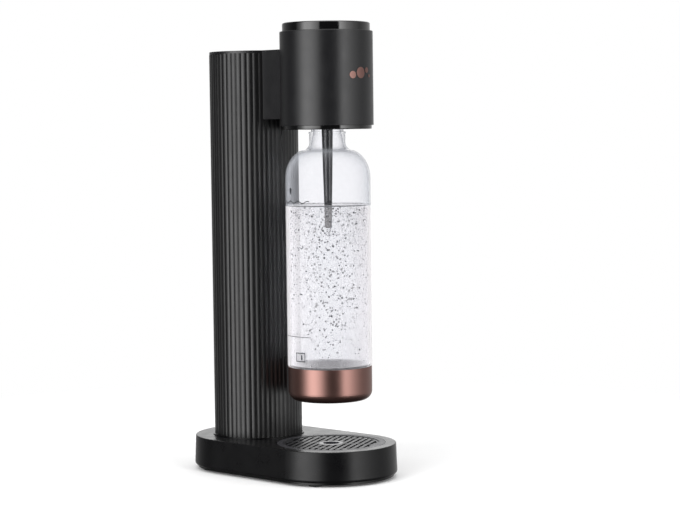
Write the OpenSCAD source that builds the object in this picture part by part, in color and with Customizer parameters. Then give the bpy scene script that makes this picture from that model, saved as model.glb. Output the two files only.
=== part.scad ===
// Soda carbonator: a free-standing kitchen machine that blows gas from a cylinder into a bottle of water.
// Millimetres. +Z is up and the front faces -Y. The origin is on the table, midway between the head's
// axis and the column's axis. Every node is one separate piece, or one set of identical fasteners.

/* [Base] */
// Radius of the base's round ends, at its widest
base_r = 63; // [62:0.5:66]
// How much the base's wall leans in from its foot to its top
base_draft = 1; // [0.5:0.1:1.5]
// Height of the base's top face above the table
base_top = 33; // [32.5:0.5:34]
// Distance between the head's axis and the column's axis
reach = 99; // [98:1:102]

/* [Column] */
// Radius of the column over the crests of its reeds
column_r = 43; // [42.5:0.5:43.5]
// Height of the column's top face above the table
column_top = 407; // [407:0.5:408]
// Number of reeds round the whole column
reed_count = 48; // [40:8:56]
// Radius of each rounded reed
reed_r = 7; // [6:0.5:9]

/* [Head] */
// Radius of the head
head_r = 44; // [44:0.5:45]
// Height of the head's lower edge above the table
head_low = 334.4; // [334.2:0.1:334.6]
// Height of the head's upper edge above the table
head_high = 423; // [422.5:0.5:423.5]
// Radius of the press button that closes the head
button_r = 41.6; // [41.2:0.1:41.6]
// Half the width of the arm that joins the column to the head
arm_half = 23; // [22:0.5:24]

/* [Bottle] */
// Outer radius of the bottle
bottle_r = 40.4; // [39.9:0.1:40.8]
// Height of the underside of the bottle's cup above the table
bottle_low = 74.4; // [73:0.1:76]
// Height of the metal cup
cup_h = 32.1; // [28:0.1:36]
// Wall of the bottle
bottle_wall = 1.6; // [1.4:0.1:1.8]

/* [Drip tray] */
// Outer radius of the tray's flat rim
tray_r = 51.5; // [51:0.1:52]
// Radius of the ribbed grille
grille_r = 45.6; // [45:0.1:45.8]
// Distance between the grille's bars
bar_pitch = 6; // [5:0.1:6.5]
// Width of each bar of the grille
bar_w = 3.4; // [3:0.1:3.8]
// Direction of the grille's bars, from the sideways axis
bar_angle = 26; // [0:1:45]

/* [Gas cylinder] */
// Outer radius of the gas cylinder
cylinder_r = 30; // [29.5:0.5:30]
// Height of the gas cylinder over its valve
cylinder_h = 343; // [342:0.5:344]

/* [Hidden] */
$fn = 96;

head_y = -reach / 2;
column_y = reach / 2;
far = 200;                       // longer than any piece that it cuts
gap = 0.3;                       // running gap between pieces that move apart

// Fasteners: one small screw is used throughout.
thread_r = 1.5;
thread_bore = 1.55;              // hole that the screw bites in
clear_bore = 1.8;                // hole that the screw passes through
screw_head_r = 2.8;
screw_head_h = 1.8;
boss_r = 4;

// Base.
base_wall = 2.4;
plate_low = 2;                   // underside of the base plate
plate_t = 3;
plate_high = plate_low + plate_t;
skirt_low = 4;                   // lowest edge of the housing's wall, outside the plate
skirt_round = 2.6;
plate_r = base_r - 3;
lid_t = 2.8;                     // thickness of the housing's top

// Drip tray, flush with the base's top.
rim_t = 1.7;
tray_wall_r = 47.6;
tray_low = 14;
ledge_t = 3;
grille_t = 2.4;
grille_low = base_top - 2.9;
ring_r = 14;                     // smooth ring round the grille's hole
hole_r = 8;

// Column.
column_bore = column_r - 3.5;
cap_t = 2.5;
shell_high = column_top - cap_t; // the top cap lies on this
collar_h = 1;
chassis_r = column_bore - 0.8;
chassis_t = 2.4;

// Arm.
arm_low = 341.2;
arm_wall = 2.4;

// Head.
head_wall = 2.1;
head_bore = head_r - head_wall;
ring_low = 330.7;
ring_floor = 333.2;              // upper face of the lower ring's floor
deck_low = 404;
deck_t = 3;
deck_high = deck_low + deck_t;
button_high = 431;
button_low = 416;
button_wall = 2.2;
button_roof = 428;               // underside of the button's top
stem_r = 4;
slide_clear = 0.05;              // radial clearance of a piece that slides in a bore

// The lever's pivot, and the travel that it passes on to the plunger.
pivot_y = column_y + 19;
pivot_z = 395;
lever_half_h = 4;
lever_half_w = 5;
lever_clear = 0.15;              // free play between stem, lever and plunger
hub_r = 5;
pin_r = 2;
ear_in = 11;                     // inner face of each ear that holds the pin
ear_t = 4;

// The gas cylinder hangs by its valve in the socket of the valve block.
valve_top = 366;
cylinder_low = valve_top - cylinder_h;
neck_high = cylinder_low + 314;
valve_thread_r = 10.4;
socket_r = 10.6;
thread_low = valve_top - 14.5;
shelf_low = 350;                 // the chassis's shelf, which carries the valve block
shelf_t = 3;
shelf_high = shelf_low + shelf_t;
block_high = 384;
block_r = 14.5;
plunger_r = 3;
plunger_thin_r = 1.3;
hose_z = 371;
port_r = 2.1;

// The head's gas fittings, under the bracket that carries them.
neck_top = 346;                  // the bottle's mouth
seal_t = 3;
manifold_low = neck_top + seal_t;
manifold_t = shelf_high - manifold_low;
manifold_high = 380;
manifold_r = 17;
bracket_t = 3;
bracket_half = 18;
bracket_end_r = 35;
mount_r = 31;                    // circle of the screws that hold the head's fittings
mount_angles = [45, 135, 225, 315];
relief_x = 11;
relief_bore = 3;
relief_foot = 369;               // the relief valve and the plug are driven in to this height
hex_r = 5.4;

// Bottle neck and what seals on it.
neck_r = 17.1;
thread_z = [333.6, 337, 340.4];  // lower edge of each turn of the neck's thread
finish_r = 15.4;
mouth_r = 13.4;
bead_z = 326.6;
shoulder_z = 284.9;
cup_top = bottle_low + cup_h;

// ---------------------------------------------------------------- shared shapes

module at_column() translate([0, column_y, 0]) children();

module at_head() translate([0, head_y, 0]) children();

module spin(angle, r = 0, z = 0) rotate([0, 0, angle]) translate([r, 0, z]) children();

module stadium(r) {
    translate([0, column_y]) circle(r);
    translate([0, head_y]) circle(r);
    translate([-r, head_y]) square([2 * r, reach]);
}

// Carries an upright profile, drawn at its radius, round a stadium.
module stadium_sweep() {
    at_column() rotate_extrude(angle = 180) children();
    at_head() rotate([0, 0, 180]) rotate_extrude(angle = 180) children();
    for (side = [0, 1])
        mirror([side, 0, 0]) at_column() rotate([90, 0, 0]) linear_extrude(height = reach) children();
}

module tube(r_out, r_in, h) {
    difference() {
        cylinder(r = r_out, h = h);
        translate([0, 0, -1]) cylinder(r = r_in, h = h + 2);
    }
}

// Part of a flat ring between two angles.
module arc_band(r_out, r_in, from, to) {
    reach_out = r_out / cos((to - from) / 16) + 1;
    intersection() {
        difference() {
            circle(r_out);
            circle(r_in);
        }
        polygon(concat([[0, 0]], [for (i = [0:8]) let (a = from + (to - from) * i / 8)
            [reach_out * cos(a), reach_out * sin(a)]]));
    }
}

module drill(r, h) cylinder(r = r, h = h, $fn = 24);

// A pan-head screw that stands on its tip, with a cross recess in its head.
module screw(length) {
    slot_w = 0.6;
    slot_l = screw_head_r * 1.2;
    difference() {
        union() {
            drill(thread_r, length);
            translate([0, 0, length]) cylinder(r = screw_head_r, h = screw_head_h, $fn = 32);
        }
        for (turn = [0, 90])
            rotate([0, 0, turn]) translate([-slot_l / 2, -slot_w / 2, length + screw_head_h / 2])
                cube([slot_l, slot_w, screw_head_h]);
    }
}

// The same screw, driven downwards or upwards until its head is seated at the origin.
module screw_down(length) translate([0, 0, -length]) screw(length);

module screw_up(length) rotate([180, 0, 0]) screw_down(length);

// A coil spring as one swept wire of round section.
module coil(r, wire_r, low, high, turns) {
    steps = 16;
    sides = 8;
    rise = (high - low - 2 * wire_r) / (turns * steps);
    count = turns * steps;
    skin_points = [for (i = [0:count], k = [0:sides - 1])
        let (a = 360 * i / steps, b = 360 * k / sides, out = r + wire_r * cos(b))
        [out * cos(a), out * sin(a), low + wire_r + rise * i + wire_r * sin(b)]];
    skin = [for (i = [0:count - 1], k = [0:sides - 1]) let (n = (k + 1) % sides)
        [i * sides + k, (i + 1) * sides + k, (i + 1) * sides + n, i * sides + n]];
    first_end = [for (k = [0:sides - 1]) k];
    last_end = [for (k = [sides - 1:-1:0]) count * sides + k];
    polyhedron(points = skin_points, faces = concat(skin, [first_end, last_end]), convexity = 8);
}

// ---------------------------------------------------------------- base

base_screw_places = [for (x = [-54.5, 54.5], y = [-52, 6, 52]) [x, y, 0]];
foot_places = [for (x = [-46, 46], y = [-73, 70]) [x, y, 0]];
foot_r = 7;
foot_sunk = 1;                   // depth of the recess that holds each foot
foot_ring_r = 34.6;              // circle of the screws that hold the chassis down
chassis_screw_angles = [200, 245, 295, 340];
head_sunk = screw_head_h + 0.1;

// Each base screw enters a boss that hangs from the housing's top.
module base_housing() color("#1e1e20") difference() {
    union() {
        stadium_sweep() polygon(concat(
            [for (a = [-90:22.5:0]) [base_r - skirt_round + skirt_round * cos(a),
                                     skirt_low + skirt_round + skirt_round * sin(a)]],
            [for (a = [0:30:90]) [base_r - base_draft - 1 + cos(a), base_top - 1 + sin(a)]],
            [[base_r - base_draft - base_wall, base_top],
             [plate_r + 0.2, plate_high], [plate_r + 0.2, skirt_low]]));
        translate([0, 0, base_top - lid_t]) linear_extrude(height = lid_t)
            stadium(base_r - base_draft - base_wall + 0.1);
        at_head() translate([0, 0, base_top - 4.6]) cylinder(r = tray_r + 2.5, h = ledge_t);
        // Low collar round the column's foot.
        at_column() translate([0, 0, base_top]) tube(column_r + 1.6, column_r + gap, collar_h);
        for (p = base_screw_places)
            translate(p) translate([0, 0, plate_high]) cylinder(r = boss_r, h = base_top - plate_high - 1);
    }
    at_head() translate([0, 0, base_top - 10]) cylinder(r = tray_wall_r + 0.4, h = 20);
    at_head() translate([0, 0, base_top - rim_t - 0.05]) cylinder(r = tray_r + 0.4, h = 5);
    at_column() translate([0, 0, base_top - 10]) cylinder(r = column_bore - gap, h = 20);
    for (p = base_screw_places)
        translate(p) translate([0, 0, plate_low]) drill(thread_bore, 16);
}

module plate_screw_hole() {
    translate([0, 0, plate_low - 1]) drill(clear_bore, plate_t + 2);
    translate([0, 0, plate_low - 1]) drill(screw_head_r + gap, 1 + head_sunk);
}

module base_plate() color("#141415") difference() {
    translate([0, 0, plate_low]) linear_extrude(height = plate_t) stadium(plate_r);
    for (p = base_screw_places)
        translate(p) plate_screw_hole();
    for (a = chassis_screw_angles)
        at_column() spin(a, foot_ring_r) plate_screw_hole();
    for (p = foot_places)
        translate(p) translate([0, 0, plate_low - 1]) cylinder(r = foot_r + 0.1, h = 1 + foot_sunk);
}

module base_screws() color("#9a9ca0")
    for (p = base_screw_places)
        translate(p) translate([0, 0, plate_low + head_sunk]) screw_up(12);

module rubber_feet() color("#0e0e0f")
    for (p = foot_places)
        translate(p) {
            cylinder(r1 = foot_r - 0.8, r2 = foot_r, h = 1);
            translate([0, 0, 1]) cylinder(r = foot_r, h = plate_low + foot_sunk - 1);
        }

// ---------------------------------------------------------------- chassis inside the column

spine_from = 196;                // the spine wraps the front of the gas cylinder
spine_to = 344;
block_screw_x = 22;
bracket_screw_places = [[-12, 27], [12, 27]];
shell_screw_angles = [240, 300];
shell_screw_z = [120, 310];

module chassis() color("#3a3b3d") difference() {
    union() {
        at_column() translate([0, 0, plate_high]) linear_extrude(height = shelf_high - plate_high)
            arc_band(chassis_r, chassis_r - chassis_t, spine_from, spine_to);
        at_column() translate([0, 0, plate_high]) cylinder(r = chassis_r, h = 3);
        for (a = chassis_screw_angles)
            at_column() spin(a, foot_ring_r, plate_high) cylinder(r = boss_r, h = 14);
        at_column() translate([0, 0, shelf_low]) cylinder(r = chassis_r, h = shelf_t);
        for (side = [0, 1])
            mirror([side, 0, 0]) pivot_ear();
    }
    at_column() translate([0, 0, shelf_low - 1]) cylinder(r = block_r + 1, h = shelf_t + 2);
    for (a = chassis_screw_angles)
        at_column() spin(a, foot_ring_r, plate_high - 1) drill(thread_bore, 13);
    for (side = [-1, 1])
        translate([side * block_screw_x, column_y, shelf_low - 1]) drill(thread_bore, shelf_t + 2);
    for (p = bracket_screw_places)
        translate([p[0], p[1], shelf_low - 1]) drill(thread_bore, shelf_t + 2);
    for (z = shell_screw_z, a = shell_screw_angles)
        at_column() spin(a, chassis_r - 4, z) rotate([0, 90, 0]) drill(clear_bore, 6);
    translate([-ear_in - ear_t - 1, pivot_y, pivot_z]) rotate([0, 90, 0])
        cylinder(r = pin_r + slide_clear, h = 2 * (ear_in + ear_t + 1));
}

// One of the two uprights that hold the lever's pin.
module pivot_ear()
    translate([ear_in, pivot_y, shelf_high - 0.5]) {
        translate([0, -hub_r, 0]) cube([ear_t, 2 * hub_r, pivot_z - shelf_high + 0.5]);
        translate([0, 0, pivot_z - shelf_high + 0.5]) rotate([0, 90, 0]) cylinder(r = hub_r, h = ear_t);
    }

module chassis_screws() color("#9a9ca0")
    for (a = chassis_screw_angles)
        at_column() spin(a, foot_ring_r, plate_low + head_sunk) screw_up(10);

cradle_z = [70, 250];
cradle_h = 8;

module cylinder_cradles() color("#2b2c2e")
    for (z = cradle_z)
        at_column() translate([0, 0, z]) linear_extrude(height = cradle_h)
            arc_band(chassis_r - chassis_t, cylinder_r + 0.9, 200, 340);

module cylinder_pad() color("#555555")
    at_column() translate([0, 0, plate_high + 3]) cylinder(r = cylinder_r - 4, h = 1.5);

// ---------------------------------------------------------------- column's outer skin

module reeded_outline() {
    circle(column_r - reed_r + 1);
    for (i = [0:reed_count - 1])
        rotate(360 * (i + 0.5) / reed_count) translate([column_r - reed_r, 0]) circle(reed_r, $fn = 32);
}

// One half of the reeded tube, in front of its seam or behind it. The seam lies in a groove each side.
module reeded_half(behind, low, high) {
    at_column() translate([0, 0, low]) linear_extrude(height = high - low) difference() {
        intersection() {
            reeded_outline();
            translate([-far / 2, behind ? gap / 2 : -far / 2]) square([far, far / 2 - gap / 2]);
        }
        circle(column_bore);
    }
}

module column_front_shell() color("#1c1c1e") difference() {
    union() {
        reeded_half(false, base_top, shell_high);
        for (z = shell_screw_z, a = shell_screw_angles)
            at_column() spin(a, chassis_r, z) rotate([0, 90, 0]) cylinder(r = boss_r, h = 1.5);
    }
    translate([-arm_half - slide_clear, 0, arm_low - slide_clear])
        cube([2 * (arm_half + slide_clear), column_y - 20, far]);
    for (z = shell_screw_z, a = shell_screw_angles)
        at_column() spin(a, chassis_r - 1, z) rotate([0, 90, 0]) drill(thread_bore, 3.6);
}

module shell_screws() color("#9a9ca0")
    for (z = shell_screw_z, a = shell_screw_angles)
        at_column() spin(a, chassis_r - chassis_t - 0.12, z) rotate([0, -90, 0]) screw_down(4.8);

snap_z = [60, 200, 322];
snap_h = 16;
snap_angle = 8;                  // how far each tongue reaches past the seam

// The cover's tongues pass the seams and spring against the inside of the front shell.
module rear_cover() color("#1c1c1e") {
    reeded_half(true, base_top + collar_h + gap, shell_high - gap);
    for (z = snap_z, side = [0, 1])
        at_column() translate([0, 0, z]) mirror([side, 0, 0]) linear_extrude(height = snap_h) {
            arc_band(column_bore - 0.2, column_bore - 1.8, -snap_angle, snap_angle + 4);
            arc_band(column_bore + 0.5, column_bore - 1.8, 1, snap_angle + 4);
        }
}

top_cap_screw_places = [[-16.6, 2], [16.6, 2]];
cap_sunk = screw_head_h;

module top_cap() color("#1c1c1e") difference() {
    translate([0, 0, shell_high]) linear_extrude(height = cap_t) {
        translate([0, column_y]) circle(column_r - 0.2);
        difference() {
            translate([-arm_half, head_y]) square([2 * arm_half, reach]);
            translate([0, head_y]) circle(head_r + 0.15);
        }
    }
    for (p = top_cap_screw_places) {
        translate([p[0], p[1], shell_high - 1]) drill(clear_bore, cap_t + 2);
        translate([p[0], p[1], column_top - cap_sunk]) drill(screw_head_r + 0.2, 2 * cap_sunk);
    }
}

module top_cap_screws() color("#2a2a2c")
    for (p = top_cap_screw_places)
        translate([p[0], p[1], column_top - cap_sunk]) screw_down(8);

// ---------------------------------------------------------------- arm

arm_floor = arm_low + arm_wall;
arm_screw_places = [[-11, 1], [11, 1]];
cap_boss_low = 384;

// An open-topped channel whose ends follow the bores of the head and the column. The bosses on its
// floor stand under the bracket, and the bosses at its walls take the cap.
module arm_housing() color("#1c1c1e") difference() {
    union() {
        difference() {
            translate([-arm_half, head_y, arm_low]) cube([2 * arm_half, reach, shell_high - arm_low]);
            translate([-arm_half + arm_wall, head_y - 1, arm_floor])
                cube([2 * (arm_half - arm_wall), reach + 2, far]);
        }
        for (p = arm_screw_places)
            translate([p[0], p[1], arm_floor - 1]) cylinder(r = boss_r, h = shelf_high - arm_floor + 1);
        for (p = top_cap_screw_places)
            translate([p[0], p[1], cap_boss_low])
                cylinder(r = boss_r + 0.2, h = shell_high - cap_boss_low);
    }
    at_head() translate([0, 0, arm_low - 1]) cylinder(r = head_bore, h = far);
    at_column() translate([0, 0, arm_low - 1]) cylinder(r = column_bore, h = far);
    for (p = arm_screw_places)
        translate([p[0], p[1], arm_floor + 1]) drill(thread_bore, 20);
    for (p = top_cap_screw_places)
        translate([p[0], p[1], cap_boss_low + 6]) drill(thread_bore, 20);
}

module arm_screws() color("#9a9ca0")
    for (p = arm_screw_places)
        translate([p[0], p[1], shelf_high + bracket_t]) screw_down(9);

// A pressed plate that runs from the chassis's shelf through the arm and carries the head's fittings.
module head_bracket() color("#8d9095") difference() {
    union() {
        translate([0, 0, shelf_high]) linear_extrude(height = bracket_t) difference() {
            union() {
                translate([0, head_y]) circle(bracket_end_r);
                translate([-bracket_half, head_y]) square([2 * bracket_half, reach - 15]);
            }
            translate([0, head_y]) circle(manifold_r + gap);
            translate([0, column_y]) circle(block_r + 2);
        }
        for (side = [0, 1])
            mirror([side, 0, 0]) translate([bracket_half - 2, head_y + 25, shelf_high])
                cube([2, 52, bracket_t + 5]);
    }
    for (p = concat(arm_screw_places, bracket_screw_places))
        translate([p[0], p[1], shelf_high - 1]) drill(clear_bore, bracket_t + 2);
    for (a = mount_angles)
        at_head() spin(a, mount_r, shelf_high - 1) drill(clear_bore, bracket_t + 2);
}

module bracket_screws() color("#9a9ca0")
    for (p = bracket_screw_places)
        translate([p[0], p[1], shelf_high + bracket_t]) screw_down(6);

// ---------------------------------------------------------------- head

deck_screw_r = 37.9;
deck_screw_angles = [0, 180, 240, 300];
leg_angles = [30, 150, 270];

module head_shell() color("#1f1f21") difference() {
    union() {
        at_head() translate([0, 0, head_low]) rotate_extrude() polygon(concat(
            [[head_bore, 0], [head_r - 0.3, 0], [head_r, 0.3]],
            [for (a = [0:30:90]) [head_r - 1 + cos(a), head_high - head_low - 1 + sin(a)]],
            [[head_bore, head_high - head_low]]));
        for (a = deck_screw_angles)
            at_head() spin(a, 0, deck_low - 14) intersection() {
                translate([deck_screw_r - boss_r, -boss_r, 0]) cube([3 * boss_r, 2 * boss_r, 14]);
                cylinder(r = head_bore + 1, h = 14);
            }
    }
    translate([-arm_half - slide_clear, head_y + 20, arm_low - slide_clear])
        cube([2 * (arm_half + slide_clear), 40, shell_high - arm_low + 0.1]);
    for (a = deck_screw_angles)
        at_head() spin(a, deck_screw_r, deck_low - 11) drill(thread_bore, 20);
}

module head_lower_ring() color("#0b0b0c") at_head() difference() {
    union() {
        translate([0, 0, ring_low]) rotate_extrude() polygon(concat([[0, 0]],
            [for (a = [-90:30:0]) [41.6 + 0.8 * cos(a), 0.8 + 0.8 * sin(a)]],
            [[42.4, head_low - ring_low], [0, head_low - ring_low]]));
        translate([0, 0, head_low]) tube(head_bore - 0.1, head_bore - 2.2, 5);
    }
    translate([0, 0, ring_low - 1]) cylinder(r = 22.4, h = 10);
    translate([0, 0, ring_floor]) cylinder(r = head_bore - 2.2, h = 10);
}

// A small inlay of rising bubbles on the head's front face, as [x, z, radius].
bubbles = [[0, 383, 5.2], [-9.6, 381, 3.4], [8.8, 385.4, 2.6], [13.2, 380.2, 1.5]];
badge_t = 0.35;

module head_badge() color("#c98a78")
    for (b = bubbles)
        intersection() {
            at_head() translate([0, 0, b[1] - 10]) tube(head_r + badge_t, head_r, 20);
            translate([b[0], head_y, b[1]]) rotate([90, 0, 0]) cylinder(r = b[2], h = head_r + 2);
        }

module head_deck() color("#3a3b3d") at_head() difference() {
    union() {
        translate([0, 0, deck_low]) cylinder(r = head_bore - 0.1, h = deck_t);
        translate([0, 0, deck_low]) cylinder(r = 2 * stem_r, h = deck_t + 5);
    }
    translate([0, 0, deck_low - 1]) cylinder(r = stem_r + slide_clear, h = 20);
    for (a = leg_angles)
        rotate([0, 0, a]) translate([32.4, -4.5, deck_low - 1]) cube([4.8, 9, deck_t + 2]);
    for (a = deck_screw_angles)
        spin(a, deck_screw_r, deck_low - 1) drill(clear_bore, deck_t + 2);
}

module head_deck_screws() color("#9a9ca0")
    for (a = deck_screw_angles)
        at_head() spin(a, deck_screw_r, deck_high) screw_down(10);

// ---------------------------------------------------------------- button

leg_in = 34.4;                   // inner face of each of the button's legs
leg_t = 2;
leg_w = 7.2;
hook_h = 2.8;
stem_high = 422;                 // the stem ends under a boss in the button
stem_low = pivot_z + lever_half_h + lever_clear;
stud_low = 413.5;

// Legs whose hooks catch under the deck stop the button at the top of its travel.
module button_cap() color("#08080a") at_head() {
    difference() {
        rotate_extrude() polygon(concat([[0, button_low], [button_r, button_low]],
            [for (a = [0:22.5:90]) [button_r - 1.5 + 1.5 * cos(a), button_high - 1.5 + 1.5 * sin(a)]],
            [[0, button_high]]));
        difference() {
            translate([0, 0, button_low - 1]) cylinder(r = button_r - button_wall,
                                                       h = button_roof - button_low + 1);
            translate([0, 0, stem_high]) cylinder(r = 5, h = 10);
        }
        translate([0, 0, stem_high - 1]) drill(thread_bore, 6.4);
    }
    for (a = leg_angles)
        rotate([0, 0, a]) translate([leg_in, -leg_w / 2, 0]) {
            translate([0, 0, deck_low - 3]) cube([leg_t, leg_w, button_roof - deck_low + 3.5]);
            translate([0, 0, deck_low - 3]) cube([4.6, leg_w, hook_h]);
        }
}

module button_stem() color("#c8c9cc") at_head() difference() {
    union() {
        translate([0, 0, stem_low + stem_r]) cylinder(r = stem_r, h = stem_high - stem_low - stem_r);
        intersection() {
            translate([0, 0, stem_low + stem_r]) sphere(r = stem_r);
            translate([0, 0, stem_low - 1]) cylinder(r = stem_r, h = stem_r + 1);
        }
        translate([0, 0, stem_high - 2.5]) cylinder(r = 8.4, h = 2.5);
    }
    translate([0, 0, stud_low - 0.5]) drill(thread_bore, 20);
}

module stem_stud() color("#9a9ca0")
    at_head() translate([0, 0, stud_low]) drill(thread_r, 13);

module button_spring() color("#b9bbbf")
    at_head() coil(10.6, 0.6, deck_high, button_roof, 5);

// ---------------------------------------------------------------- lever

module actuating_lever() color("#8d9095") difference() {
    union() {
        translate([-lever_half_w, head_y - 6, pivot_z - lever_half_h])
            cube([2 * lever_half_w, pivot_y - head_y + 6, 2 * lever_half_h]);
        translate([-ear_in + gap, pivot_y, pivot_z]) rotate([0, 90, 0])
            cylinder(r = hub_r, h = 2 * (ear_in - gap));
    }
    translate([-ear_in, pivot_y, pivot_z]) rotate([0, 90, 0])
        cylinder(r = pin_r + slide_clear, h = 2 * ear_in);
    // Pockets on both sides leave an I-beam.
    for (side = [0, 1])
        mirror([side, 0, 0]) translate([1.6, head_y + 10, pivot_z - lever_half_h + 1.6])
            cube([lever_half_w, 78, 2 * lever_half_h - 3.2]);
}

// Each end of the pin is closed by a retaining washer outside its ear.
module lever_pin() color("#c8c9cc")
    translate([0, pivot_y, pivot_z]) rotate([0, 90, 0]) {
        translate([0, 0, -ear_in - ear_t - 2]) cylinder(r = pin_r, h = 2 * (ear_in + ear_t + 2));
        for (side = [0, 1])
            mirror([0, 0, side]) translate([0, 0, ear_in + ear_t]) cylinder(r = pin_r + 1.4, h = 1.2);
    }

// ---------------------------------------------------------------- gas valve in the column

flange_half = [27, 11];
flange_t = 4;
seal_groove = [378, 2.2];        // height and width of the plunger seal's groove

module valve_block() color("#b08d3e") difference() {
    union() {
        translate([-flange_half[0], column_y - flange_half[1], shelf_high])
            cube([2 * flange_half[0], 2 * flange_half[1], flange_t]);
        at_column() translate([0, 0, shelf_high]) cylinder(r = block_r, h = block_high - shelf_high);
        translate([0, hose_from + 2, hose_z]) rotate([-90, 0, 0]) cylinder(r = 5, h = 10);
    }
    at_column() translate([0, 0, shelf_high - 1]) cylinder(r = socket_r, h = washer_high - shelf_high + 1);
    at_column() translate([0, 0, valve_top]) cylinder(r = plunger_r + slide_clear, h = far);
    at_column() translate([0, 0, seal_groove[0]]) cylinder(r = plunger_r + 1.9, h = seal_groove[1]);
    translate([0, hose_from, hose_z]) rotate([-90, 0, 0]) cylinder(r = port_r, h = 20);
    for (side = [-1, 1])
        translate([side * block_screw_x, column_y, shelf_high - 1]) drill(clear_bore, flange_t + 2);
}

washer_high = valve_top + 1.6;

module valve_block_screws() color("#9a9ca0")
    for (side = [-1, 1])
        translate([side * block_screw_x, column_y, shelf_high + flange_t]) screw_down(7);

module cylinder_washer() color("#2f2f31")
    at_column() translate([0, 0, valve_top + 0.1]) tube(socket_r - 0.05, 3.4, washer_high - valve_top - 0.1);

plunger_high = pivot_z - lever_half_h - lever_clear;
dome_r = 4;

// A thin tip that presses the cylinder's pin, a sealed barrel and a domed head under the lever.
module plunger() color("#c8c9cc") at_column() {
    translate([0, 0, valve_top + 0.1]) cylinder(r = plunger_thin_r, h = 8);
    translate([0, 0, valve_top + 8]) cylinder(r1 = plunger_thin_r, r2 = plunger_r, h = 2);
    translate([0, 0, valve_top + 10])
        cylinder(r = plunger_r, h = plunger_high - dome_r - valve_top - 9.5);
    intersection() {
        translate([0, 0, plunger_high - dome_r]) sphere(r = dome_r);
        translate([0, 0, plunger_high - dome_r]) cylinder(r = dome_r, h = dome_r + 1);
    }
}

module plunger_seal() color("#2f2f31")
    at_column() translate([0, 0, seal_groove[0] + seal_groove[1] / 2]) rotate_extrude()
        translate([plunger_r + 0.95, 0]) circle(r = 0.85, $fn = 32);

// ---------------------------------------------------------------- gas cylinder

// The cylinder's outline from its foot to its neck: a round heel, a domed shoulder and a hollow neck.
cylinder_outline = concat(
    [[0, 3], [16, 0.6]],
    [for (a = [-90:15:0]) [cylinder_r - 5 + 5 * cos(a), 5 + 5 * sin(a)]],
    [for (a = [0:7.5:60]) [8 + (cylinder_r - 8) * cos(a), 258 + 32.5 * sin(a)]],
    [for (a = [221.5:-8.3:180]) [29.7 + 16.5 * cos(a), 298.7 + 16.5 * sin(a)]],
    [[13.2, neck_high - cylinder_low], [0, neck_high - cylinder_low]]);
shank_r = 9;

module co2_cylinder() color("#b9babc") at_column() translate([0, 0, cylinder_low]) difference() {
    rotate_extrude() polygon(cylinder_outline);
    translate([0, 0, 10]) cylinder(r = cylinder_r - 3.2, h = 245);
    translate([0, 0, 254.9]) cylinder(r1 = cylinder_r - 3.2, r2 = shank_r, h = 34);
    translate([0, 0, 288]) cylinder(r = shank_r, h = 40);
}

module cylinder_valve() color("#b5893a") at_column() difference() {
    union() {
        translate([0, 0, neck_high - 20]) cylinder(r = shank_r - 0.02, h = 21);
        translate([0, 0, neck_high]) cylinder(r = 12.6, h = 1.4);
        translate([0, 0, neck_high + 1]) cylinder(r = 11.3, h = thread_low - neck_high - 1);
        translate([0, 0, thread_low]) cylinder(r = valve_thread_r - 0.9, h = valve_top - thread_low);
        for (i = [0:3])
            translate([0, 0, thread_low + 1.4 + 3.2 * i]) cylinder(r = valve_thread_r, h = 1.7);
    }
    translate([0, 0, neck_high - 21]) drill(valve_pin_r + 0.1, 80);
    for (a = [0:60:300])
        rotate([0, 0, a]) translate([10.6, -3, neck_high + 4])
            cube([3, 6, thread_low - neck_high - 7]);
}

valve_pin_r = 1.5;

module valve_pin() color("#c8c9cc")
    at_column() translate([0, 0, neck_high - 10]) drill(valve_pin_r, valve_top - neck_high + 10);

module cylinder_sleeve() color("#2a2a2c")
    at_column() translate([0, 0, cylinder_low + 12]) tube(cylinder_r + 0.4, cylinder_r, 240);

// ---------------------------------------------------------------- hose between the valve and the head

hose_r = 3;
hose_bore = 1.7;
clamp_w = 3.6;
hose_from = column_y - 20;
hose_to = head_y + 22;

module gas_hose() color("#d9d9d2")
    translate([0, hose_to, hose_z]) rotate([-90, 0, 0]) tube(hose_r, hose_bore, hose_from - hose_to);

// A turned fitting: a thin spigot in the hose, a hex, and a stub in the block.
module fitting() {
    translate([0, 0, -5]) cylinder(r = hose_bore - 0.25, h = 6);
    cylinder(r = 4.4, h = 2, $fn = 6);
    translate([0, 0, 1]) cylinder(r = port_r - 0.02, h = 7);
}

module hose_fittings() color("#b5893a") {
    translate([0, hose_from, hose_z]) rotate([-90, 0, 0]) fitting();
    translate([0, hose_to, hose_z]) rotate([90, 0, 0]) fitting();
}

module hose_clamps() color("#b9bbbf")
    for (y = [hose_from - clamp_w - 1, hose_to + 1])
        translate([0, y, hose_z]) rotate([-90, 0, 0]) tube(hose_r + 0.9, hose_r, clamp_w);

// ---------------------------------------------------------------- carbonating head

seal_r = 16.1;
nozzle_flange_r = 7;
tip_low = 237.3;                 // the nozzle's lowest point, in the water
tip_round = 2;
nozzle_bore = 4;

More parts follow.
